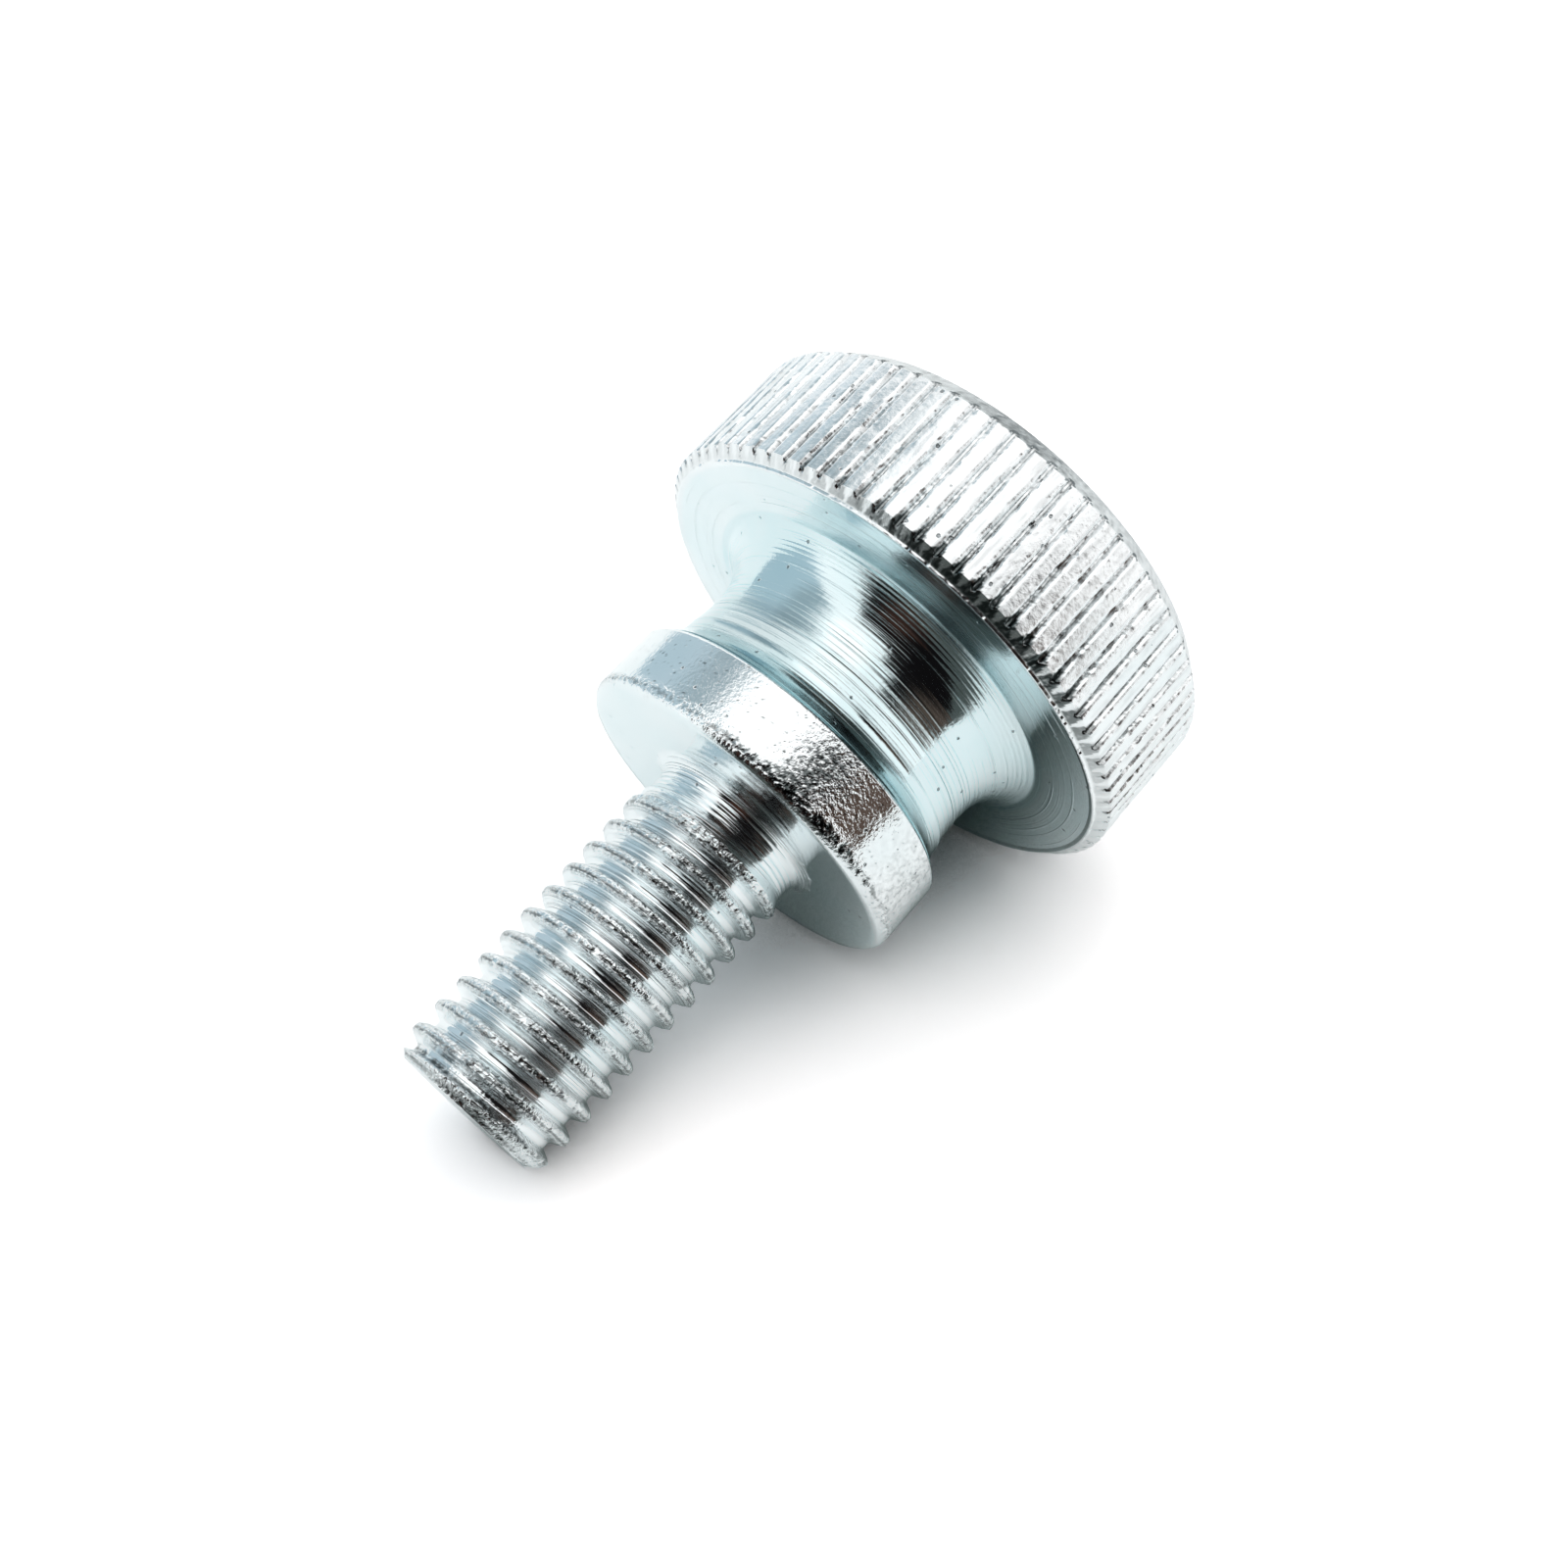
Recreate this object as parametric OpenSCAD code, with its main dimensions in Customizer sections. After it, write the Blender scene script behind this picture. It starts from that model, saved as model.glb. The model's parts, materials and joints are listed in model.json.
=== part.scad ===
// Knurled thumb screw with a collar: one turned piece, lying on its thread tip and head rim.
// All sizes in millimetres. The screw is drawn along +Z with the bearing face of its collar
// at z = 0, the thread below and the head above, and is then laid down on z = 0.

/* [Thread] */
// outside diameter of the thread
thread_d = 7.8; // [6:0.05:10]
// distance from one crest to the next
pitch = 1.25; // [1:0.05:1.5]
// length from the bearing face to the tip
thread_len = 16.2; // [10:0.1:30]
// depth of the thread groove as a share of the pitch
groove_share = 0.6134; // [0.5:0.01:0.65]
// diameter of the blank where the thread runs out
blank_d = 7.2; // [6.9:0.05:7.6]
// radius of the fillet between that blank and the collar
shank_fillet = 0.8; // [0.3:0.05:0.9]
// distance from the bearing face to the first full crest
runout_len = 1.9; // [1.4:0.1:3]
// size of the chamfer on the tip
tip_chamfer = 0.6; // [0.3:0.05:1]
// how far the thread is turned round the axis
thread_turn = -123; // [-180:1:180]

/* [Collar and neck] */
// outside diameter of the collar
collar_d = 16.2; // [15.4:0.1:20]
// thickness of the collar
collar_t = 3.4; // [2:0.1:5]
// radius of the collar's worn front edge
collar_edge_r = 0.67; // [0.3:0.01:0.9]
// how far up the side that edge reaches
collar_edge_h = 0.55; // [0.2:0.01:0.6]
// chamfer on the back edge of the collar
collar_back_chamfer = 0.12; // [0.05:0.01:0.3]
// diameter of the neck
neck_d = 14.0; // [11:0.1:14.8]
// radius of the hollow between the collar's back and the neck
throat_r = 1.7; // [0.8:0.1:2.5]
// distance from the bearing face to the underside of the head
under_z = 9.5; // [8:0.1:14]
// radius of the flare where the neck meets the head
flare_r = 3.0; // [2.7:0.1:5]
// length of that flare along the axis
flare_len = 2.64; // [1:0.01:2.65]

/* [Head] */
// outside diameter over the knurl
head_d = 24.4; // [22:0.1:30]
// distance from the underside to the start of the full knurl
near_chamfer_h = 0.42; // [0.2:0.01:0.8]
// radial size of the chamfer on the underside
near_chamfer_w = 0.6; // [0.3:0.01:1]
// height over the whole head, from underside to top
head_h = 7.15; // [5:0.05:12]
// height of the top chamfer
top_chamfer_h = 0.94; // [0.3:0.01:1.5]
// radial size of the top chamfer
top_chamfer_w = 0.82; // [0.5:0.01:1.5]
// number of knurl teeth
teeth = 80; // [60:1:90]
// width of a tooth's crest
crest_w = 0.3; // [0.15:0.01:0.4]
// depth of the knurl
knurl_depth = 0.34; // [0.15:0.01:0.4]

/* [Hidden] */
$fn = 96;
eps = 0.01;
thread_r = thread_d / 2;
root_r = thread_r - groove_share * pitch;
head_r = head_d / 2;
top_z = under_z + head_h;
steps = 36;             // stations of the groove in one turn
flank = tan(30);
root_half = pitch / 12; // half width of the groove's flat root
root_round = 0.05;      // how much deeper the middle of the root is
back_land = 0.08;       // flat ring left on the collar's back, outside the hollow

// how the screw lies: two neighbouring teeth and the last crest at the tip touch the ground
crest_angle = crest_w / 2 / head_r * 180 / PI;
foot_r = head_r * cos(180 / teeth - crest_angle);
foot_z = under_z + near_chamfer_h;
tip_z = thread_len - tip_chamfer;
land = pitch - 2 * groove_half(thread_r);
first_land = -thread_len - 0.7 * pitch - pitch * thread_turn / 360 - land / 2;
last_land = first_land + pitch * ceil((-tip_z - first_land) / pitch);
touch_z = last_land - pitch + land > -tip_z ? -tip_z : last_land;
tilt = atan2(foot_r - thread_r, foot_z - touch_z);
drop = -foot_z * sin(tilt) + foot_r * cos(tilt);
// ends of the lying screw along X, used to centre it
x_tip = -thread_len * cos(tilt) - (thread_r - tip_chamfer) * sin(tilt);
x_rim = (top_z - top_chamfer_h) * cos(tilt) + head_r * sin(tilt);
x_top = top_z * cos(tilt) + (head_r - top_chamfer_w) * sin(tilt);
x_edge = -tip_z * cos(tilt) - thread_r * sin(tilt);
x_mid = (min(x_tip, x_edge) + max(x_rim, x_top)) / 2;

// half section of the shank: tip chamfer, crest cylinder, run-out down to the blank
module shank_section() {
    polygon([
        [0, -thread_len],
        [thread_r - tip_chamfer, -thread_len],
        [thread_r, -tip_z],
        [thread_r, -runout_len],
        [blank_d / 2, -(runout_len + shank_fillet) / 2],
        [blank_d / 2, collar_edge_h],
        [0, collar_edge_h]
    ]);
}

// half section of the fillet that carries the blank into the collar
module fillet_section() {
    difference() {
        translate([0, -shank_fillet]) square([blank_d / 2 + shank_fillet, shank_fillet + eps]);
        translate([blank_d / 2 + shank_fillet, -shank_fillet]) circle(r = shank_fillet);
    }
}

// a right-hand helical groove: one cross-section carried round the axis,
// rising out of the metal where the thread runs out
turns = (thread_len - shank_fillet + 0.8 * pitch) / pitch;
out_r = thread_r + 0.06;
function groove_lift(t) = max(0, t - (turns - 0.6)) * 1.6;
function groove_half(r) = root_half + (r - root_r) * flank;
function groove_ring(t) = let (
        a = thread_turn + 360 * t,
        z = -thread_len - 1.2 * pitch + pitch * t,
        up = groove_lift(t),
        o = max(out_r, root_r + up + 0.1),
        w = groove_half(o - up)
    ) [for (q = [
        [o, -w],
        [root_r + up, -root_half],
        [root_r + up - root_round, 0],
        [root_r + up, root_half],
        [o, w]
    ]) [q[0] * cos(a), q[0] * sin(a), z + q[1]]];

module thread_groove() {
    n = floor(turns * steps);
    k = 5;
    pts = [for (i = [0:n]) each groove_ring(i / steps)];
    sides = [for (i = [0:n - 1], j = [0:k - 1]) each let (
            p = i * k + j,
            q = i * k + (j + 1) % k
        ) [[p, q + k, q], [p, p + k, q + k]]];
    first = [[0, 1, 2], [0, 2, 3], [0, 3, 4]];
    last = [for (f = first) [f[2] + n * k, f[1] + n * k, f[0] + n * k]];
    polyhedron(points = pts, faces = concat(sides, first, last));
}

module threaded_shank() {
    difference() {
        rotate_extrude() {
            shank_section();
            fillet_section();
        }
        thread_groove();
    }
}

// half section of the collar, with its rounded front edge
module collar_section() {
    c = collar_d / 2;
    intersection() {
        translate([c - collar_edge_r, collar_edge_h]) circle(r = collar_edge_r);
        square([c, collar_t]);
    }
    square([c - collar_edge_r + sqrt(pow(collar_edge_r, 2) - pow(collar_edge_h, 2)), collar_t]);
    polygon([
        [0, collar_edge_h],
        [c, collar_edge_h],
        [c, collar_t - collar_back_chamfer],
        [c - collar_back_chamfer, collar_t],
        [0, collar_t]
    ]);
}

// half section of the neck: hollow behind the collar, flaring into the underside of the head
module neck_section() {
    neck_r = neck_d / 2;
    flare_z = under_z - flare_len;
    end_r = neck_r + flare_r - sqrt(pow(flare_r, 2) - pow(flare_len, 2));
    throat_w = min(throat_r, collar_d / 2 - collar_back_chamfer - back_land - neck_r);
    throat_z = collar_t + sqrt(pow(throat_r, 2) - pow(throat_r - throat_w, 2));
    difference() {
        translate([0, collar_t - eps])
            square([max(end_r, neck_r + throat_w), under_z - collar_t + 2 * eps]);
        translate([neck_r + throat_w, collar_t - 1]) square([flare_r, throat_z - collar_t + 1]);
        translate([neck_r + throat_r, throat_z]) circle(r = throat_r);
        translate([neck_r, throat_z]) square([flare_r, flare_z - throat_z]);
        translate([neck_r + flare_r, flare_z]) circle(r = flare_r);
    }
}

module head_blank() {
    rotate_extrude() polygon([
        [0, under_z],
        [head_r - near_chamfer_w, under_z],
        [head_r, foot_z],
        [head_r, top_z - top_chamfer_h],
        [head_r - top_chamfer_w, top_z],
        [0, top_z]
    ]);
}

// outline of the straight knurl: flat crests, 45 degree flanks, a gap centred on angle 0
module knurl_outline() {
    over = 0.05;
    step = 360 / teeth;
    crest = crest_angle - over / head_r * 180 / PI;
    valley = (crest_w / 2 + knurl_depth) / head_r * 180 / PI;
    low = head_r - knurl_depth;
    polygon([for (i = [0:teeth - 1]) each let (a = (i + 0.5) * step) [
        low * [cos(a - min(valley, 0.49 * step)), sin(a - min(valley, 0.49 * step))],
        (head_r + over) * [cos(a - crest), sin(a - crest)],
        (head_r + over) * [cos(a + crest), sin(a + crest)],
        low * [cos(a + min(valley, 0.49 * step)), sin(a + min(valley, 0.49 * step))]
    ]]);
}

module knurled_head() {
    intersection() {
        head_blank();
        translate([0, 0, under_z - 1]) linear_extrude(head_h + 2) knurl_outline();
    }
}

module thumb_screw() {
    color([0.78, 0.81, 0.82])
    translate([-x_mid, 0, drop])
    rotate([0, 90 - tilt, 0]) {
        threaded_shank();
        rotate_extrude() collar_section();
        rotate_extrude() neck_section();
        knurled_head();
    }
}

thumb_screw();
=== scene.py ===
"""A knurled thumb screw, zinc plated, lying on its thread tip and head rim on a white table."""

import json
import math

import bmesh
import bpy
import numpy as np
from mathutils import Matrix, Vector, noise


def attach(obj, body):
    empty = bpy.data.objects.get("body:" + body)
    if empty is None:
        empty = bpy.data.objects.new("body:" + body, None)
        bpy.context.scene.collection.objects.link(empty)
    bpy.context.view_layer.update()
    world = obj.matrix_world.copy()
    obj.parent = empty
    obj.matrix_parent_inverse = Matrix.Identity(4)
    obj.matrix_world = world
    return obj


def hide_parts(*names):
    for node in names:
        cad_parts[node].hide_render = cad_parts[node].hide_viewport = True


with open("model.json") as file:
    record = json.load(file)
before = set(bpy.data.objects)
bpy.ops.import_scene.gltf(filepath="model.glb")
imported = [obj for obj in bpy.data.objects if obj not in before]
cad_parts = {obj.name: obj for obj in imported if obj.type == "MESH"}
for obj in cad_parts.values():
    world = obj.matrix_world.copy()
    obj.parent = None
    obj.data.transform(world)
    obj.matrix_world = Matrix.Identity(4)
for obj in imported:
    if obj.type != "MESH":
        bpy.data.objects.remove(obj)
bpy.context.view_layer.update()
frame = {"record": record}


# ---- How the screw lies ----
# The screw is one turned piece. It is drawn along its own axis, in millimetres, with the
# collar's bearing face at z = 0, the thread below and the head above, and is then laid down.
HEAD_TOP_Z = 16.65
mounts = {mount["name"]: mount for mount in frame["record"]["mounts"]}
axis = Vector(mounts["head_top"]["axis"]).normalized()
across = Vector((0, 1, 0))
downward = across.cross(axis)
face_centre = Vector(mounts["head_top"]["pos_m"]) - axis * HEAD_TOP_Z / 1000
lay_down = Matrix((downward, across, axis)).transposed().to_4x4()
lay_down.translation = face_centre


def lay(points_mm):
    """Points of the upright screw, in millimetres, as points of the lying one, in metres."""
    turn = np.array(lay_down.to_3x3())
    return points_mm @ turn.T / 1000 + np.array(face_centre)


def around(columns, start=0.0):
    """Evenly spaced angles once round the axis, in radians, from a share of one space on."""
    return (np.arange(columns) + start) * 2 * np.pi / columns


def turned(radius, angle, height):
    """Points at a radius and height, at an angle in radians round the axis."""
    radius, angle, height = np.broadcast_arrays(radius, angle, height)
    return np.stack([radius * np.cos(angle), radius * np.sin(angle), height], -1)


# ---- Camera ----
# It looks down on the screw from its tip's side, from close by.
CAMERA_AZIMUTH, CAMERA_ELEVATION = 40.82, 46.36
CAMERA_ROLL, CAMERA_LENS, SENSOR_WIDTH = 2.36, 40.26, 36
CAMERA_PLACE = (-0.03788764, -0.03419822, 0.06333404)
camera = bpy.data.objects.new("camera", bpy.data.cameras.new("camera"))
bpy.context.collection.objects.link(camera)
bpy.context.scene.camera = camera
camera.data.lens, camera.data.sensor_width = CAMERA_LENS, SENSOR_WIDTH
camera.data.clip_start, camera.data.clip_end = 0.001, 20
azimuth, elevation = math.radians(CAMERA_AZIMUTH), math.radians(CAMERA_ELEVATION)
look = Vector((math.cos(azimuth) * math.cos(elevation),
               math.sin(azimuth) * math.cos(elevation), -math.sin(elevation)))
roll = Matrix.Rotation(math.radians(CAMERA_ROLL), 3, "Z").to_quaternion()
camera.rotation_mode = "QUATERNION"
camera.rotation_quaternion = look.to_track_quat("-Z", "Y") @ roll
camera.location = CAMERA_PLACE


# ---- Zinc plate ----
# Steel is dipped in a bright zinc bath and a clear blue passivate, so it mirrors its
# surroundings with a cool cast, painted deeper in the hollow as painted shade. Cold-formed skin
# stays pebbly under it.
CLEAR_PLATE, COOL_PLATE = (0.87, 0.895, 0.905, 1), (0.51, 0.715, 0.750, 1)
PIT_COLOUR, TORN_AND_SHADE_COLOUR = (0.10, 0.12, 0.13, 1), (0.06, 0.075, 0.075, 1)
CLOUD_SCALE, PIT_SCALE, PIT_CHANCE, PIT_DEPTH = 260.0, 1500.0, 0.25, 0.00002
RING_FINENESS, RING_LEAN, SCUFF_ROUGHNESS = 5200.0, 1.37, 0.10


def node_group(name, inputs, outputs):
    """A shader group with float inputs, as name to default, and outputs, as name to kind."""
    group = bpy.data.node_groups.new(name, "ShaderNodeTree")
    for label, value in inputs.items():
        socket = group.interface.new_socket(label, in_out="INPUT", socket_type="NodeSocketFloat")
        socket.default_value = value
    for label, kind in outputs.items():
        group.interface.new_socket(label, in_out="OUTPUT", socket_type="NodeSocket" + kind)
    return group, group.nodes.new("NodeGroupInput").outputs, group.nodes.new("NodeGroupOutput")


class Wiring:
    """Short words for adding nodes to a tree and joining them. An input is named by its
    label, with _ for a space, or by its number, as in _0."""

    def __init__(self, tree):
        self.tree = tree

    def add(self, kind, settings=None, **inputs):
        node = self.tree.nodes.new(kind)
        for key, value in (settings or {}).items():
            setattr(node, key, value)
        for key, value in inputs.items():
            self.put(node, key, value)
        return node

    def put(self, node, key, value):
        socket = node.inputs[int(key[1:]) if key[0] == "_" else key.replace("_", " ")]
        if isinstance(value, bpy.types.NodeSocket):
            self.tree.links.new(value, socket)
        else:
            socket.default_value = value

    def maths(self, operation, a, b=0.0):
        return self.add("ShaderNodeMath", {"operation": operation}, _0=a, _1=b).outputs[0]

    def times(self, a, b):
        return self.maths("MULTIPLY", a, b)

    def dot(self, a, b):
        node = self.add("ShaderNodeVectorMath", {"operation": "DOT_PRODUCT"}, _0=a, _1=b)
        return node.outputs["Value"]

    def ramp(self, value, low, high, to_low=0.0, to_high=1.0):
        node = self.add("ShaderNodeMapRange", {"clamp": True, "interpolation_type": "SMOOTHSTEP"},
                        Value=value, From_Min=low, From_Max=high, To_Min=to_low, To_Max=to_high)
        return node.outputs[0]

    def mix(self, factor, a, b):
        node = self.add("ShaderNodeMix", {"data_type": "RGBA"}, Factor=factor, _6=a, _7=b)
        return node.outputs[2]

    def speckle(self, place, scale, detail, roughness=0.5):
        return self.add("ShaderNodeTexNoise", Vector=place, Scale=scale, Detail=detail,
                        Roughness=roughness).outputs["Fac"]

    def stripes(self, along, scale, detail, roughness=0.5):
        return self.add("ShaderNodeTexNoise", {"noise_dimensions": "1D"}, W=along, Scale=scale,
                        Detail=detail, Roughness=roughness).outputs["Fac"]

    def bump(self, height, depth, **more):
        return self.add("ShaderNodeBump", Strength=1.0, Distance=depth, Height=height, **more)


# Plate skin: soft clouds in the passivate, fine pits, and a pebbled height of a given size.
skin, skin_in, skin_out = node_group(
    "plate_skin", {"Grain": 6000.0, "Cool": 0.2},
    {"Colour": "Color", "Height": "Float", "Pits": "Float", "Clouds": "Float"})
w = Wiring(skin)
place = w.add("ShaderNodeTexCoord").outputs["Object"]
clouds = w.speckle(place, CLOUD_SCALE, 2.0)
cells = w.add("ShaderNodeTexVoronoi", Vector=place, Scale=PIT_SCALE, Randomness=1.0).outputs
chance = w.add("ShaderNodeTexWhiteNoise", Vector=cells["Position"]).outputs["Value"]
pits = w.times(w.ramp(cells["Distance"], 0.08, 0.15, 1.0, 0.0),
               w.ramp(chance, 0.99 - PIT_CHANCE, 1.01 - PIT_CHANCE))
cool = w.maths("ADD", skin_in["Cool"], w.ramp(clouds, 0.3, 0.7, 0.0, 0.16))
tint = w.mix(w.maths("MAXIMUM", w.maths("MINIMUM", cool, 1.0), 0.0), CLEAR_PLATE, COOL_PLATE)
w.put(skin_out, "Colour", w.mix(w.times(pits, 0.7), tint, PIT_COLOUR))
w.put(skin_out, "Height", w.speckle(place, skin_in["Grain"], 2.2, 0.6))
w.put(skin_out, "Pits", pits)
w.put(skin_out, "Clouds", clouds)

# Turning marks: fine rings that the tool leaves, strong in places. On a thread they climb by
# its lead in each turn. They are laid along the radius too, so an end face has rings as well.
rings, rings_in, rings_out = node_group("turning_marks", {"Lead": 0.0}, {"Marks": "Float"})
w = Wiring(rings)
on_table = w.add("ShaderNodeTexCoord").outputs["Object"]
upright = w.add("ShaderNodeMapping", {"vector_type": "TEXTURE"}, Vector=on_table,
                Location=face_centre, Rotation=lay_down.to_euler("XYZ")).outputs[0]
x, y, z = w.add("ShaderNodeSeparateXYZ", Vector=upright).outputs
radius = w.maths("SQRT", w.maths("ADD", w.times(x, x), w.times(y, y)))
spun = w.maths("ARCTAN2", w.times(y, -1.0), w.times(x, -1.0))
turns_round = w.maths("DIVIDE", spun, 2 * math.pi)
climbed = w.maths("SUBTRACT", z, w.times(turns_round, rings_in["Lead"]))
reach = w.maths("ADD", radius, w.times(climbed, RING_LEAN))
fine = w.stripes(reach, RING_FINENESS, 2.0, 0.6)
lines = w.maths("ADD", w.ramp(fine, 0.55, 0.68), w.times(fine, 0.5))
broad = w.stripes(reach, 1300.0, 1.0)
strength = w.maths("ADD", w.speckle(upright, 240.0, 3.0), w.times(broad, 0.45))
w.put(rings_out, "Marks", w.times(lines, w.ramp(strength, 0.64, 0.84, 0.10, 1.0)))


def zinc(name, rough, grain, pebble, marks, coarse, lead=0.0):
    """A finish of the plated steel: how rough it is, the fineness and height of its grain, the
    height and lead of its turning marks, and how much rougher it is where it is grainy."""
    material = bpy.data.materials.new(name)
    material.use_nodes = True
    w = Wiring(material.node_tree)
    shader = material.node_tree.nodes["Principled BSDF"]
    finish = w.add("ShaderNodeAttribute", {"attribute_name": "finish"}).outputs["Vector"]
    torn_and_shade, cool, grainy = w.add("ShaderNodeSeparateXYZ", Vector=finish).outputs
    face = w.add("ShaderNodeGroup", {"node_tree": skin}, Grain=grain, Cool=cool).outputs
    dulled = w.times(grainy, coarse)
    normal = w.bump(face["Pits"], PIT_DEPTH)
    normal.invert = True
    normal = w.bump(w.times(face["Height"], grainy), pebble, Normal=normal.outputs[0])
    if marks:
        scuffs = w.add("ShaderNodeGroup", {"node_tree": rings}, Lead=lead).outputs["Marks"]
        dulled = w.maths("ADD", dulled, w.times(scuffs, SCUFF_ROUGHNESS))
        normal = w.bump(scuffs, marks, Normal=normal.outputs[0])
    smooth = w.ramp(face["Clouds"], 0.3, 0.7, rough * 0.8, rough * 1.2)
    shader.inputs["Metallic"].default_value = 1.0
    # The plate is darkened by torn metal and by painted shade and painted reflections.
    w.put(shader, "Base Color", w.mix(torn_and_shade, face["Colour"], TORN_AND_SHADE_COLOUR))
    w.put(shader, "Roughness", w.maths("ADD", smooth, dulled))
    w.put(shader, "Normal", normal.outputs[0])
    return material


def grid_piece(name, points_mm, material, round_angle, torn_and_shade, cool, grainy):
    """A closed skin from rings of points, each ring going once round the axis, with both
    ends closed on the axis. Its finish says how dark the plate is, from torn metal and from
    painted shade and painted reflections, and how cool and grainy it is."""
    rows, columns = points_mm.shape[:2]
    points = lay(points_mm.reshape(-1, 3))
    ends = lay(turned(0, 0, points_mm[[0, -1], :, 2].mean(1)))
    index = np.arange(rows * columns).reshape(rows, columns)
    right = np.roll(index, -1, 1)
    sides = np.stack([index[:-1], right[:-1], right[1:], index[1:]], -1).reshape(-1, 4)
    first, last = rows * columns, rows * columns + 1
    caps = [(first, b, a) for a, b in zip(index[0], right[0])]
    caps += [(last, a, b) for a, b in zip(index[-1], right[-1])]
    mesh = bpy.data.meshes.new(name)
    mesh.from_pydata(np.concatenate([points, ends]).tolist(), [], sides.tolist() + caps)
    mesh.materials.append(material)
    finish = np.zeros((rows * columns + 2, 3), np.float32)
    for part, value in enumerate((torn_and_shade, cool, grainy)):
        finish[:-2, part] = np.broadcast_to(value, (rows, columns)).reshape(-1)
    attribute = mesh.attributes.new("finish", "FLOAT_VECTOR", "POINT")
    attribute.data.foreach_set("vector", finish.reshape(-1))
    joined = bmesh.new()
    joined.from_mesh(mesh)
    bmesh.ops.remove_doubles(joined, verts=joined.verts, dist=0.000002)
    joined.to_mesh(mesh)
    joined.free()
    mesh.shade_smooth()
    mesh.set_sharp_from_angle(angle=math.radians(round_angle))
    piece = bpy.data.objects.new(name, mesh)
    bpy.context.collection.objects.link(piece)
    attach(piece, "root")
    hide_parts("thumb_screw")


SEED_STEP, SOFTENING, FINER_EACH, OCTAVES = 17.3, 0.9, 2.1, 3


def rough_field(points_mm, size, seed):
    """Smooth noise of -1 to 1 at each point, with lumps of about that size in millimetres."""
    places = points_mm.reshape(-1, 3) / size + seed * SEED_STEP
    values = [noise.fractal(Vector(p), SOFTENING, FINER_EACH, OCTAVES) for p in places.tolist()]
    return np.array(values).reshape(points_mm.shape[:-1])


def bell(value, middle, width, power=2):
    """1 at the middle and falling to nothing on both sides of it."""
    return np.exp(-((value - middle) / width) ** power)


def rise(value, start, end):
    """0 up to start, 1 from end on, and straight between them. Start may be over end."""
    return np.clip((value - start) / (end - start), 0, 1)


def fine_section(corners, step):
    """Points along a section line, with every corner kept and no gap over step."""
    out = [corners[0]]
    for a, b in zip(corners[:-1], corners[1:]):
        parts = max(1, math.ceil(math.dist(a, b) / step))
        out += [(a[0] + (b[0] - a[0]) * k / parts, a[1] + (b[1] - a[1]) * k / parts)
                for k in range(1, parts + 1)]
    return np.array(out)


# ---- Threaded shank ----
# A right-hand M8 thread with a pitch of 1.25, rolled into the shank, so its crests are
# ragged and its roots smooth. It runs out just below the collar; the tip is chamfered.
PITCH, CREST_R, BLANK_R = 1.25, 3.9, 3.6
TIP_Z, TIP_CHAMFER, RUNOUT, FILLET = -16.2, 0.6, 1.9, 0.8
THREAD_TURN = math.radians(-123)
# The groove starts below the tip and ends below the collar, where it lifts out of the metal.
TURNS_BELOW_TIP, TURNS_PAST_FILLET, LIFTING_TURNS, LIFT_EACH_TURN = 1.2, 0.8, 0.6, 1.6
# Half a groove, from the middle of its root to the middle of the crest: along, radius.
ROLLED_GROOVE = np.array([
    (0, 3.25), (0.07, 3.253), (0.13, 3.268), (0.17, 3.30), (0.21, 3.365), (0.25, 3.45),
    (0.29, 3.545), (0.33, 3.64), (0.375, 3.74), (0.42, 3.82), (0.47, 3.873), (0.52, 3.895),
    (0.57, 3.9), (PITCH / 2, 3.9)])
# A crest is what stands within CREST_BAND of the top. It leans from LEAN_FROM on, counted
# from the middle of the groove below it, and its seam lies at SEAM_AT, counted the same way.
CREST_BAND, CREST_LEAN, LEAN_FROM, LEAN_OVER = 0.24, 0.045, 0.44, 0.40
SEAM_AT, SEAM_WIDTH, SEAM_DEPTH = 0.54, 0.060, 0.06
CUT_START, CUT_END, CUT_FEED, CUT_DEPTH = -1.35, -0.03, 0.24, 0.017
TIP_BAND, TIP_SEAM_DEPTH = 0.42, 0.07
shank_zinc = zinc("zinc_on_thread", rough=0.09, grain=4200.0, pebble=0.000130, marks=0.000050,
                  coarse=0.02, lead=PITCH / 1000)

# Rings of points follow the helix, so one ring stays at one place of the groove all round.
angle = around(264)
half_pitch = ROLLED_GROOVE[:-1, 0] / PITCH
in_pitch = np.sort(np.concatenate([half_pitch, 1 - half_pitch[1:], [0.5]]))
shares = np.concatenate([in_pitch + k for k in range(-1, 14)])
shares = shares[(shares > -0.2) & (shares < 13.95)][:, None]
first_groove = TIP_Z - TURNS_BELOW_TIP * PITCH - PITCH * THREAD_TURN / (2 * np.pi)
z = first_groove + PITCH * (shares + angle / (2 * np.pi))
phase = (shares - np.round(shares)) * PITCH
turns = (-TIP_Z - FILLET + TURNS_PAST_FILLET * PITCH) / PITCH
turn_number = np.round(shares) + (angle - THREAD_TURN) / (2 * np.pi)
lift = LIFT_EACH_TURN * np.maximum(0, turn_number - (turns - LIFTING_TURNS))
groove = lift + np.interp(np.abs(phase), *ROLLED_GROOVE.T)
blank = BLANK_R + (CREST_R - BLANK_R) * rise(-z, (RUNOUT + FILLET) / 2, RUNOUT)
radius = np.minimum(groove, blank)
z = np.clip(z, TIP_Z, 0.3)
radius = np.minimum(radius, CREST_R - TIP_CHAMFER + (z - TIP_Z))
fillet_rise = np.clip(z + FILLET, 0, FILLET)
fillet_r = BLANK_R + FILLET - np.sqrt(FILLET ** 2 - fillet_rise ** 2)
radius = np.where(z > -FILLET, np.maximum(radius, fillet_r), radius)

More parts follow.
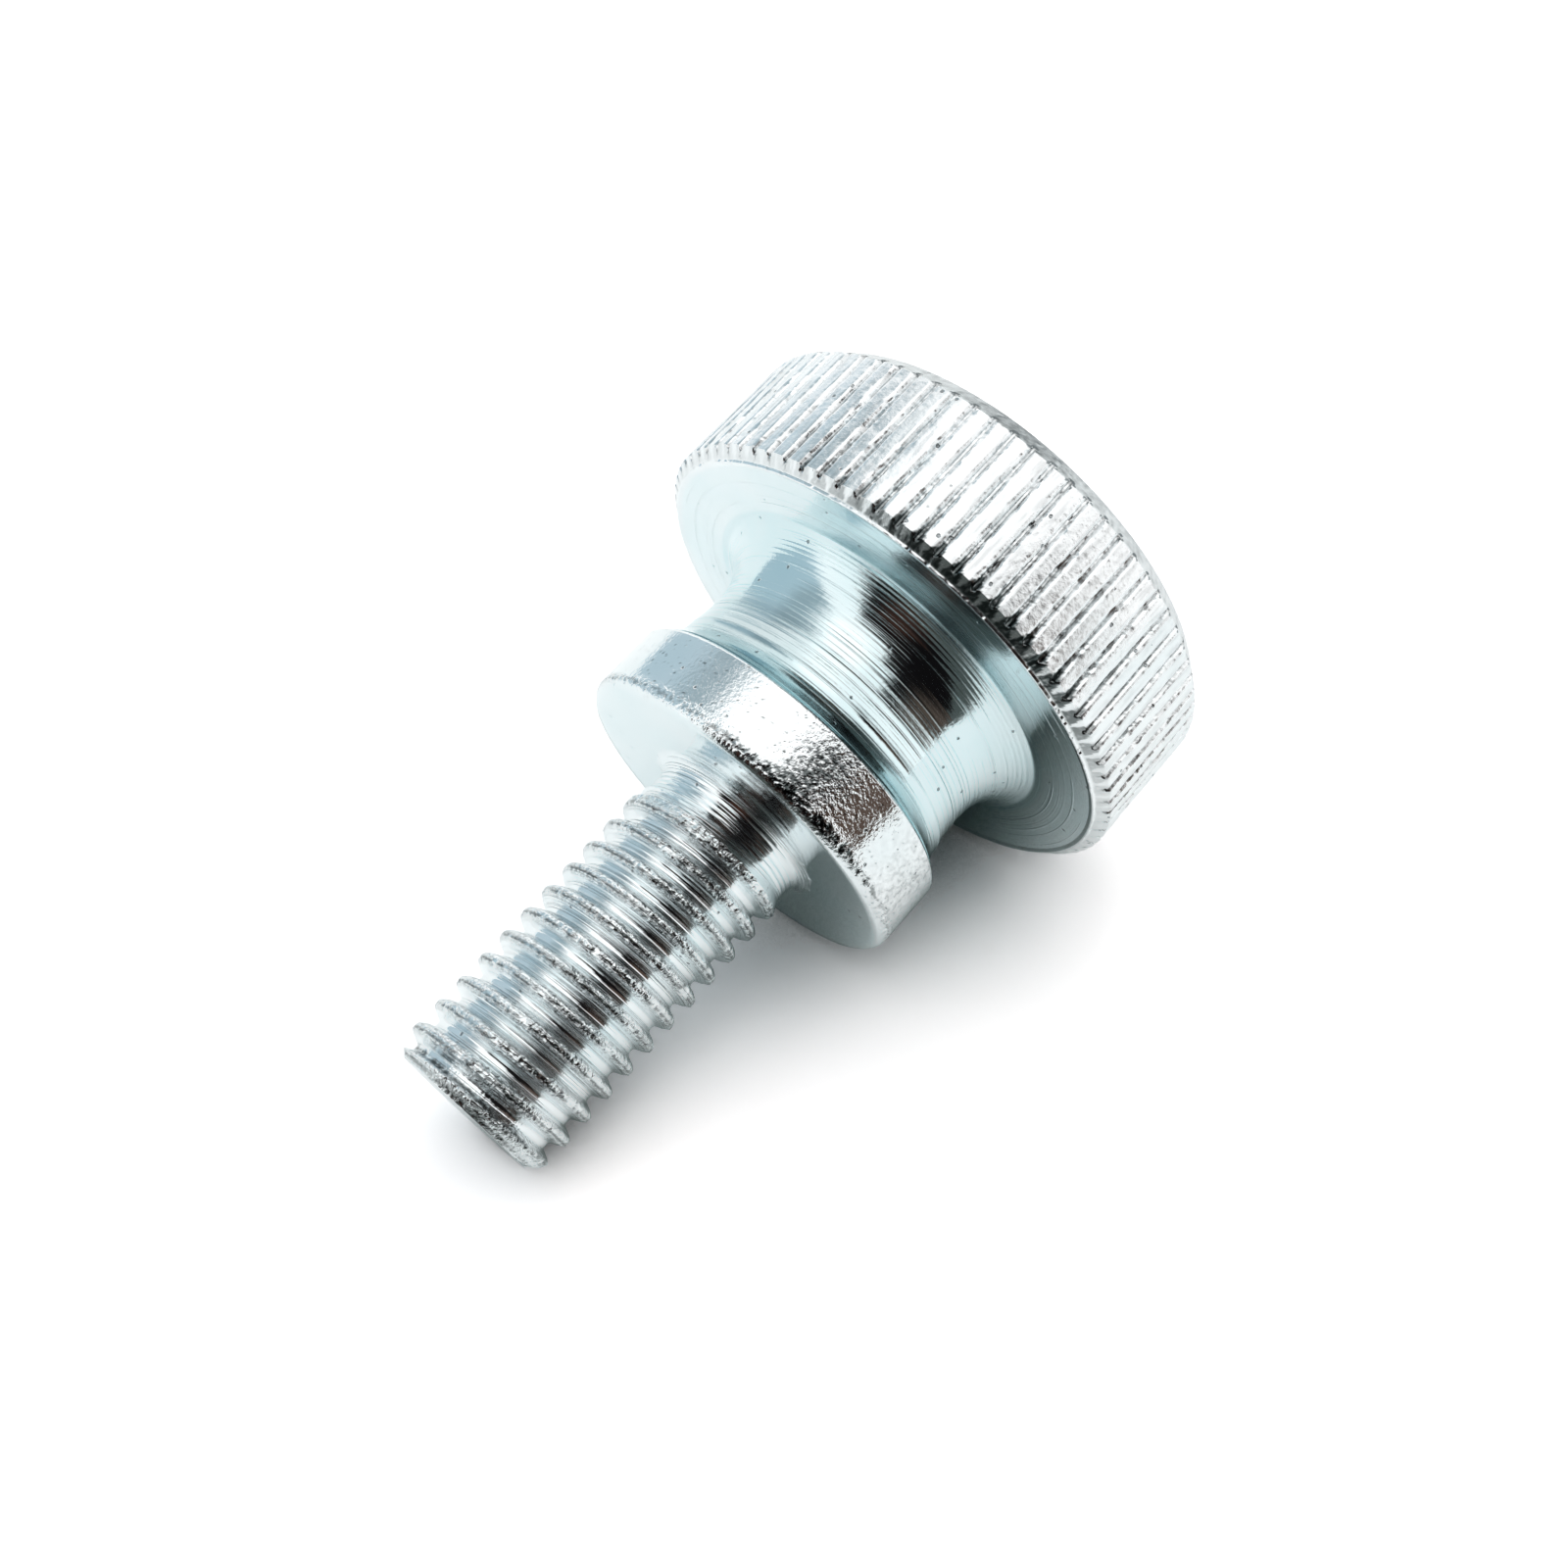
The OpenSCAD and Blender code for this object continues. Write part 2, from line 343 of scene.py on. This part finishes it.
# The crests lean and carry a seam, where the metal folded over as it was rolled.
flat = turned(CREST_R, angle, z)
grain = rough_field(flat, size=0.17, seed=22)
coarse = rough_field(flat * (1, 1, 0.6), size=0.5, seed=23)
on_crest = rise(radius, CREST_R - CREST_BAND, CREST_R - CREST_BAND / 2) * (z < -RUNOUT)
leaning = np.clip(((phase - LEAN_FROM) % PITCH) / LEAN_OVER, 0, 1)
radius = radius - CREST_LEAN * on_crest * leaning
seam = bell(phase + 0.04 * grain + 0.05 * coarse, SEAM_AT, SEAM_WIDTH)
seam = seam * np.clip(1.0 + 1.6 * coarse + 0.7 * grain, 0, 1)
radius = radius - on_crest * (SEAM_DEPTH * seam + np.abs(0.055 * grain + 0.016 * coarse))
# Between thread and collar the shank shows the feed of the tool that cut it.
cut = rise(z, CUT_START, CUT_START + 0.15) * rise(-z, -CUT_END, -CUT_END + 0.06)
radius = radius - cut * CUT_DEPTH * (1 + np.cos(2 * np.pi * z / CUT_FEED))
# The tip is bruised, with a seam at each edge of its chamfer.
at_tip = bell(z, TIP_Z + TIP_CHAMFER * 0.6, TIP_BAND)
above_tip = z - TIP_Z - 0.08 * coarse - 0.04 * grain
tip_seam = bell(above_tip, TIP_CHAMFER, 0.10) + 0.8 * bell(above_tip, 0.12, 0.07)
tip_seam = tip_seam * np.clip(0.75 + 1.4 * coarse + 0.8 * grain, 0, 1)
bruise = TIP_SEAM_DEPTH * tip_seam + np.abs(0.07 * grain + 0.04 * coarse)
radius = radius - at_tip * bruise * (z > TIP_Z)

flecks = np.clip(2.4 * (rough_field(flat * (1, 1, 0.8), size=0.13, seed=24) - 0.08), 0, 1)
# Seams on the crests and at the tip's edges are painted dark: partly torn metal, partly painted
# shade in their folds. Flecks on the crests are torn metal.
torn_and_shade = np.maximum(0.9 * np.maximum(on_crest * seam, tip_seam), 0.30 * flecks * on_crest)
grainy = np.clip(on_crest * (0.75 + 0.9 * coarse) + at_tip + 0.04, 0.02, 1)
grid_piece("threaded_shank", turned(radius, angle, z), shank_zinc, round_angle=40,
           torn_and_shade=torn_and_shade, cool=0.02, grainy=grainy)


# ---- Collar ----
# The flange that bears on the work. Its side is left as the blank was headed, pebbled in
# patches and with a worn, rounded front edge; its two faces are turned.
COLLAR_R, COLLAR_T, BACK_CHAMFER, HIDDEN_R = 8.1, 3.4, 0.12, 3.0
EDGE_R, EDGE_H = 0.67, 0.55
# The side's skin starts past SKIN_FROM and is whole at SKIN_WHOLE; faces stay as turned
# inside TURNED_R. The worn front edge is centred at EDGE_LEVEL.
TURNED_R, SKIN_FROM, SKIN_WHOLE, EDGE_LEVEL, EDGE_WIDTH = 7.5, 7.75, 8.05, 0.40, 0.28
# Degrees round the axis: the side that is worn and painted darkest, its crinkled part and the end
# that is painted darker.
WORN_AND_DARK_SIDE, CRINKLED_SIDE, DARKER_END = 222, 217, 268
collar_zinc = zinc("zinc_on_collar", rough=0.08, grain=5600.0, pebble=0.000060, marks=0.0,
                   coarse=0.02)

angle = around(640)
turn = np.degrees(angle)
edge = [(COLLAR_R - EDGE_R + EDGE_R * math.cos(t), EDGE_H + EDGE_R * math.sin(t))
        for t in np.linspace(-math.asin(EDGE_H / EDGE_R), 0, 14)]
section = np.concatenate([
    [(HIDDEN_R, 0.0), (4.6, 0.0), (6.0, 0.0), (7.0, 0.0), (7.45, 0.0)],
    edge,
    fine_section([(COLLAR_R, EDGE_H + 0.05), (COLLAR_R, COLLAR_T - BACK_CHAMFER),
                  (COLLAR_R - BACK_CHAMFER, COLLAR_T)], 0.07),
    [(COLLAR_R - 0.2, COLLAR_T), (HIDDEN_R, COLLAR_T)]])
rim, level = section[:, :1], section[:, 1:]
flat = turned(rim, angle, level)
on_side = rise(rim, SKIN_FROM, SKIN_WHOLE)
near_edge = bell(level, EDGE_LEVEL, EDGE_WIDTH) * on_side

# Pebbles in patches on the side, and a worn and chipped front edge. The edge is painted dark:
# wear, and much more on the side that faces the room's dark opening, as a painted reflection of
# it.
crinkled = bell(turn, CRINKLED_SIDE, 12)
patches = np.clip(0.27 + 0.72 * crinkled + 0.25 * rough_field(flat, size=2.0, seed=5), 0.16, 1)
pebbles = (0.010 * rough_field(flat, size=0.2, seed=6)
           + 0.012 * crinkled * rough_field(flat, size=0.13, seed=7))
worn = 0.030 * rough_field(flat, size=0.3, seed=8) + 0.040 * rough_field(flat, size=0.15, seed=9)
chips = 0.8 * rough_field(flat, size=0.6, seed=13) + 1.5 * rough_field(flat, size=0.15, seed=10)
in_front = bell(turn, WORN_AND_DARK_SIDE, 34, 4)
off_edge = (level - 0.44) / (0.13 + 0.12 * in_front)
torn_and_shade = on_side * np.clip(2.6 * (0.14 + 0.34 * in_front + chips - off_edge ** 2), 0, 1)
torn_and_shade = torn_and_shade * (0.45 + 0.55 * in_front)
# A crinkled patch runs up the side, slanted, painted dark in its crinkles, partly torn skin and
# partly a painted reflection of the room's dark opening; one end of the side is painted darker in
# spots.
crinkles = bell(turn - 2.2 * level, 212, 7.5) * np.clip((3.3 - level) / 0.8, 0.2, 1)
crinkles = crinkles - 0.62 + 1.1 * rough_field(flat, size=0.15, seed=15)
torn_and_shade = np.maximum(torn_and_shade, 0.92 * np.clip(3.0 * crinkles, 0, 1) * on_side)
dull_spots = np.clip(0.35 + 1.4 * rough_field(flat, size=0.2, seed=14), 0, 1)
torn_and_shade = np.maximum(torn_and_shade, 0.45 * bell(turn, DARKER_END, 18) * on_side * dull_spots)

shift = pebbles * patches * on_side * (1 - near_edge) + (worn - 0.03 * torn_and_shade) * near_edge
radius = np.where(rim > TURNED_R, np.minimum(rim + shift, COLLAR_R), rim)
grid_piece("collar", turned(radius, angle, level), collar_zinc, round_angle=50,
           torn_and_shade=torn_and_shade, cool=0.18 * (1 - on_side),
           grainy=np.clip(on_side * patches + near_edge, 0.03, 1))


# ---- Neck and underside ----
# Between collar and head the bar is turned down with a round-nosed tool, which leaves a
# hollow behind the collar, a flare under the head and fine rings at every change of feed.
NECK_R, THROAT_R, FLARE_R, FLARE_LEN = 7.0, 1.7, 3.0, 2.64
HEAD_R, UNDER_Z = 12.2, 9.5
SECOND_CUT, THIRD_CUT = 6.11, 7.17
# Where the tool left a ring, and how deep.
TOOL_RINGS = ((5.25, 0.006), (5.62, 0.010), (SECOND_CUT, 0.014), (6.62, 0.007),
              (THIRD_CUT, 0.014), (7.75, 0.008), (8.62, 0.010), (8.80, 0.018), (8.95, 0.014),
              (9.08, 0.022), (9.22, 0.018), (9.34, 0.026))
RING_WIDTH, FEED_DEPTH = 0.034, 0.0010
neck_zinc = zinc("zinc_on_neck", rough=0.10, grain=5000.0, pebble=0.000004, marks=0.000013,
                 coarse=0.0)

angle = around(384)
turn = np.degrees(angle)
throat_w = COLLAR_R - BACK_CHAMFER - 0.08 - NECK_R
throat_z = COLLAR_T + math.sqrt(THROAT_R ** 2 - (THROAT_R - throat_w) ** 2)
flare_z = UNDER_Z - FLARE_LEN
arc = [(NECK_R + THROAT_R - THROAT_R * math.cos(t), throat_z - THROAT_R * math.sin(t))
       for t in np.linspace(math.asin((throat_z - COLLAR_T) / THROAT_R), 0, 30)]
arc += [(NECK_R, height) for height in np.arange(throat_z + 0.05, flare_z - 0.02, 0.05)]
arc += [(NECK_R + FLARE_R - FLARE_R * math.cos(t), flare_z + FLARE_R * math.sin(t))
        for t in np.linspace(0, math.asin(FLARE_LEN / FLARE_R), 92)]
section = np.concatenate([
    [(6.0, 3.2), (7.8, 3.3)],
    arc,
    fine_section([arc[-1], (HEAD_R - 0.6, UNDER_Z)], 0.12)[1:],
    [(HEAD_R - 0.9, UNDER_Z + 0.25), (6.0, UNDER_Z + 0.25)]])
rim, level = section[:, :1], section[:, 1:]
flat = turned(rim, angle, level)

# The neck was turned in three cuts, a few hundredths of a millimetre apart.
step_up = (0.062 * np.clip(6.5 - np.maximum(level, 4.95), 0, 2) ** 2
           + np.interp(level, [6.6, THIRD_CUT, 8.7], [0, 0.02, 0.0]))
tool_rings = -sum(depth * bell(level, ring, RING_WIDTH) for ring, depth in TOOL_RINGS)
feed = FEED_DEPTH * rough_field(turned(0, 0, level), size=0.11, seed=11)
comes_and_goes = np.clip(0.6 + 1.2 * rough_field(flat * (1, 1, 3), size=4.0, seed=12), 0.1, 1.4)
on_neck = (level > COLLAR_T + 0.1) & (level < UNDER_Z - 0.02)
radius = rim + on_neck * (step_up + tool_rings + feed * comes_and_goes)

# The plate's cool tint is weaker on the underside than on the neck. It is painted stronger in the
# hollow behind the collar and on one side of the underside, as painted shade.
throat_shade = np.clip((5.0 - level) / 0.8, 0, 1)
cool = np.where(rim > 9.0, 0.18 + 0.20 * bell(turn, 215, 45), 0.47) + 0.18 * throat_shade
# A patch on one side at the foot of the neck, next to the collar, is painted darker, as painted
# shade from the collar.
shaded_foot = bell(turn, 164, 24) * np.clip((6.9 - level) / 0.6, 0, 1)
grid_piece("neck", turned(radius, angle, level), neck_zinc, round_angle=40,
           torn_and_shade=0.22 * shaded_foot, cool=cool, grainy=1.0)


# ---- Knurled head ----
# The rim is rolled between straight knurls, which leaves broad rough crests and narrow torn
# grooves; both end faces are chamfered after it, and the top is turned plain.
TEETH, KNURL_DEPTH, CREST_HALF, COLUMNS_PER_TOOTH = 80, 0.34, 0.24, 12
NEAR_H, NEAR_W, FAR_H, FAR_W = 0.42, 0.6, 0.94, 0.82
# The burr that the chamfering tool turned up inside the near edge: out from HEAD_R, up.
NEAR_BURR = np.array([(-1.3, 0.12), (-0.9, 0.02), (-0.72, -0.02), (-0.66, -0.06),
                      (-0.60, -0.07), (-0.55, -0.05)])
head_zinc = zinc("zinc_on_knurl", rough=0.16, grain=4200.0, pebble=0.000008, marks=0.0,
                 coarse=0.03)

angle = around(TEETH * COLUMNS_PER_TOOTH, 0.5)
turn = np.degrees(angle)
section = np.concatenate([
    NEAR_BURR + (HEAD_R, UNDER_Z),
    fine_section([(HEAD_R - NEAR_W + 0.07, UNDER_Z), (HEAD_R - NEAR_W + 0.08, UNDER_Z + 0.06),
                  (HEAD_R, UNDER_Z + NEAR_H), (HEAD_R, HEAD_TOP_Z - FAR_H),
                  (HEAD_R - FAR_W, HEAD_TOP_Z)], 0.092),
    [(HEAD_R - 1.6, HEAD_TOP_Z), (HEAD_R - 4, HEAD_TOP_Z), (4.0, HEAD_TOP_Z)]])
rim, level = section[:, :1], section[:, 1:]
flat = turned(HEAD_R, angle, level)
long_grain = rough_field(flat * (1, 1, 0.18), size=0.16, seed=1)
grain = rough_field(flat, size=0.11, seed=2)
wander = rough_field(flat * (1, 1, 0.5), size=0.9, seed=3)
burr = rough_field(flat, size=0.3, seed=4)

# Each groove runs between two crests; off is the way from the middle of the nearest crest.
half_step = math.pi / TEETH * HEAD_R
off = np.abs(angle * TEETH / (2 * np.pi) % 1 - 0.5) * 2 * half_step + 0.03 * wander
to_groove = rise(off, CREST_HALF, half_step)
groove = KNURL_DEPTH * (0.30 * to_groove ** 2 + 0.70 * to_groove ** 3)
ripple = (0.25 + 0.75 * np.clip(to_groove / 0.2, 0, 1)) * (0.044 * long_grain + 0.019 * grain)
ripple = ripple - 0.09 * np.clip(grain - 0.32, 0, 1) * (to_groove > 0.2)
on_rim = (rim > HEAD_R - NEAR_W - 0.01) & (level < HEAD_TOP_Z - 0.01)
far_side = np.clip((HEAD_TOP_Z - FAR_H * 0.75 - level) / 0.4, 0.25, 1)
radius = np.minimum(rim, HEAD_R - groove)
radius = radius + np.where(on_rim, np.minimum(ripple * far_side, HEAD_R - rim), 0)

# Torn metal is dark, and painted shade and painted reflections are laid in with it: in the
# grooves, partly painted shade; on the far chamfer, partly a painted reflection; in long strokes
# over the crests, torn metal; and where the teeth run out at the near edge, mostly a painted
# reflection of the room's dark opening.
# The painted shade in the grooves fades towards the head's top, less on one side.
fade = 0.22 - 0.16 * bell(turn, 268, 30)
torn_and_shade = np.clip((to_groove - 0.70 + 0.55 * grain) / 0.14, 0, 1) * 0.8 * far_side
torn_and_shade = torn_and_shade * np.clip(1 - fade * (level - 10.3), 0.35, 1)
# The far chamfer is painted grey: its torn edge and a painted reflection.
past_teeth = np.clip((level - HEAD_TOP_Z + FAR_H + 0.12 * burr) / 0.1, 0, 1)
torn_and_shade = np.maximum(torn_and_shade, np.clip(0.38 + 0.30 * burr, 0.15, 0.7) * past_teeth)
strokes = np.clip(3.0 * (rough_field(flat * (1, 1, 0.10), size=0.13, seed=16) - 0.12), 0, 1)
torn_and_shade = np.maximum(torn_and_shade, 0.18 * strokes * (level < HEAD_TOP_Z - FAR_H))
near_level = level - UNDER_Z
reach_up = 0.06 + 1.10 * (off / half_step) ** 1.2 + 0.12 * burr + 0.10 * grain
run_out = (np.clip((reach_up - near_level) / 0.06, 0, 1)
           * np.clip((near_level - 0.05) / 0.05, 0, 1) * on_rim)
# The run-out is painted much darker on the side that faces the room's dark opening, as a painted
# reflection of it.
run_out = run_out * (0.15 + 0.85 * bell(turn, 218, 40, 4)) * np.clip(1.05 + 0.6 * grain, 0, 1)
torn_and_shade = np.maximum(torn_and_shade * np.clip(near_level / 0.3, 0, 1), run_out)
grid_piece("knurled_head", turned(radius, angle, level), head_zinc, round_angle=35,
           torn_and_shade=torn_and_shade, cool=-0.08, grainy=far_side * np.clip((near_level + 0.1) / 0.1, 0, 1))


# ---- Table ----
# A large sheet of white paper, seen plain white. Close to the screw it is painted darker, a
# painted contact shadow, and polished faces see it darken there with a green cast, as painted
# shade; far out in front they see it painted dark, as painted shade where the light doesn't reach.
TABLE_HALF = 3
TABLE_LIT, TABLE_MIRRORED, TABLE_SEEN = (
    (0.70, 0.70, 0.70, 1), (1.40, 1.42, 1.41, 1), (1.89, 1.845, 1.845, 1))
FAR_COLOUR, MIRRORED_SHADE, CONTACT_SHADE = (
    (0.028, 0.040, 0.034, 1), (0.02, 0.155, 0.12, 1), (0.02, 0.028, 0.026, 1))
FRONTWARD, LEFTWARD, FRONT_SLANT, SHADE_REACH = (-0.982, 0.191, 0), (0.292, 0.956, 0), 0.35, 0.015
corners = [(-TABLE_HALF, -TABLE_HALF, 0), (TABLE_HALF, -TABLE_HALF, 0),
           (TABLE_HALF, TABLE_HALF, 0), (-TABLE_HALF, TABLE_HALF, 0)]
table_mesh = bpy.data.meshes.new("table_top")
table_mesh.from_pydata(corners, [], [(0, 1, 2, 3)])
table_top = bpy.data.objects.new("table_top", table_mesh)
bpy.context.collection.objects.link(table_top)
table_white = bpy.data.materials.new("table_white")
table_white.use_nodes = True
table_white.node_tree.nodes.clear()
w = Wiring(table_white.node_tree)
ray = w.add("ShaderNodeLightPath").outputs
place = w.add("ShaderNodeNewGeometry").outputs["Position"]
leftward = w.dot(place, LEFTWARD)
slanted = w.maths("SUBTRACT", w.dot(place, FRONTWARD), w.times(leftward, FRONT_SLANT))
beyond = w.times(w.ramp(slanted, 0.018, 0.034), w.ramp(leftward, 0.014, -0.010, 0.0, 0.94))
openness = w.add("ShaderNodeAmbientOcclusion", {"samples": 14}, Distance=SHADE_REACH).outputs["AO"]
# Painted shade, green, close to the screw, seen only in the polished faces.
mirrored_shade = w.times(w.ramp(openness, 0.60, 0.15, 0.0, 0.78), ray["Is Glossy Ray"])
colour = w.mix(ray["Is Glossy Ray"], TABLE_LIT, TABLE_MIRRORED)
colour = w.mix(ray["Is Camera Ray"], colour, TABLE_SEEN)
# Painted dark far out in front, seen only in the polished faces.
colour = w.mix(w.times(beyond, ray["Is Glossy Ray"]), colour, FAR_COLOUR)
colour = w.mix(mirrored_shade, colour, MIRRORED_SHADE)
# Painted contact shadow close to the screw, seen by every ray.
colour = w.mix(w.ramp(openness, 0.46, 0.12, 0.0, 0.95), colour, CONTACT_SHADE)
paper = w.add("ShaderNodeBsdfDiffuse", Color=colour)
w.add("ShaderNodeOutputMaterial", _0=paper.outputs[0])
table_mesh.materials.append(table_white)


# ---- Room ----
# A white tent, brightest overhead, with a blue-grey wall at the back, a darker wall on the
# right and a dark opening on the camera's side, which the polished faces mirror. Heights and
# bearings are in degrees. The camera itself sees plain white.
TENT_LOW, TENT_TOP = (1.20, 1.195, 1.19, 1), (1.50, 1.49, 1.48, 1)
WALL_LOW, WALL_HIGH, RIGHT_WALL = (
    (0.50, 0.63, 0.70, 1), (0.36, 0.455, 0.50, 1), (0.30, 0.33, 0.34, 1))
OPENING_DARK, OPENING_BROWN, CURTAIN = (
    (0.006, 0.005, 0.0055, 1), (0.100, 0.070, 0.057, 1), (0.050, 0.024, 0.018, 1))
PLAIN_WHITE, OPENING_BEARING = (1, 1, 1, 1), -131
room = bpy.data.worlds.new("room")
bpy.context.scene.world = room
room.use_nodes = True
background = room.node_tree.nodes["Background"]
w = Wiring(room.node_tree)
heading = w.add("ShaderNodeTexCoord").outputs["Generated"]
x, y, z = w.add("ShaderNodeSeparateXYZ", Vector=heading).outputs
height = w.times(w.maths("ARCSINE", z), 180 / math.pi)
bearing = w.times(w.maths("ARCTAN2", y, x), 180 / math.pi)


def degrees_from(middle):
    """How far a direction's bearing is from that of middle, from -180 to 180."""
    return w.add("ShaderNodeMath", {"operation": "WRAP"},
                 _0=w.maths("SUBTRACT", bearing, middle), _1=180.0, _2=-180.0).outputs[0]


def side(middle, half, soft):
    """How far a direction lies on one side of the room: 1 within half degrees of middle."""
    return w.ramp(w.maths("ABSOLUTE", degrees_from(middle)), half + soft, half, 0.0, 1.0)


wall_top = w.maths("SUBTRACT", height, w.ramp(bearing, 92, 70, 0, 14))
back_wall = w.times(side(101, 27, 11), w.ramp(wall_top, 74, 52))
right_wall = w.times(side(-8, 38, 12), w.ramp(height, 58, 35))

# The opening lies between two leaning jambs, under a lintel that rises and falls again.
from_opening = degrees_from(OPENING_BEARING)
near_jamb = w.maths("SUBTRACT", from_opening, w.times(height, 0.33))
far_jamb = w.maths("ADD", from_opening, w.times(height, 0.12))
lintel = w.maths("SUBTRACT", w.ramp(from_opening, 0, 23, 54, 60),
                 w.ramp(from_opening, 23, 34, 0, 9))
below_lintel = w.ramp(w.maths("SUBTRACT", height, lintel), 5, -4)
opening = w.times(w.times(w.ramp(near_jamb, -75, -66), w.ramp(far_jamb, 65, 61)), below_lintel)
brown = w.times(w.ramp(from_opening, 27, 47), w.ramp(height, 42, 24))
curtain = w.times(w.times(w.ramp(from_opening, -20, -34), w.ramp(from_opening, -52, -44)),
                  w.ramp(height, 40, 28))

light = w.mix(w.ramp(height, 64, 80), TENT_LOW, TENT_TOP)
light = w.mix(back_wall, light, w.mix(w.ramp(height, 30, 46), WALL_LOW, WALL_HIGH))
light = w.mix(right_wall, light, RIGHT_WALL)
inside = w.mix(curtain, w.mix(brown, OPENING_DARK, OPENING_BROWN), CURTAIN)
light = w.mix(opening, light, inside)
light = w.mix(w.add("ShaderNodeLightPath").outputs["Is Camera Ray"], light, PLAIN_WHITE)
w.put(background, "Color", light)
background.inputs["Strength"].default_value = 1.0
bpy.context.scene.view_settings.view_transform = "Standard"
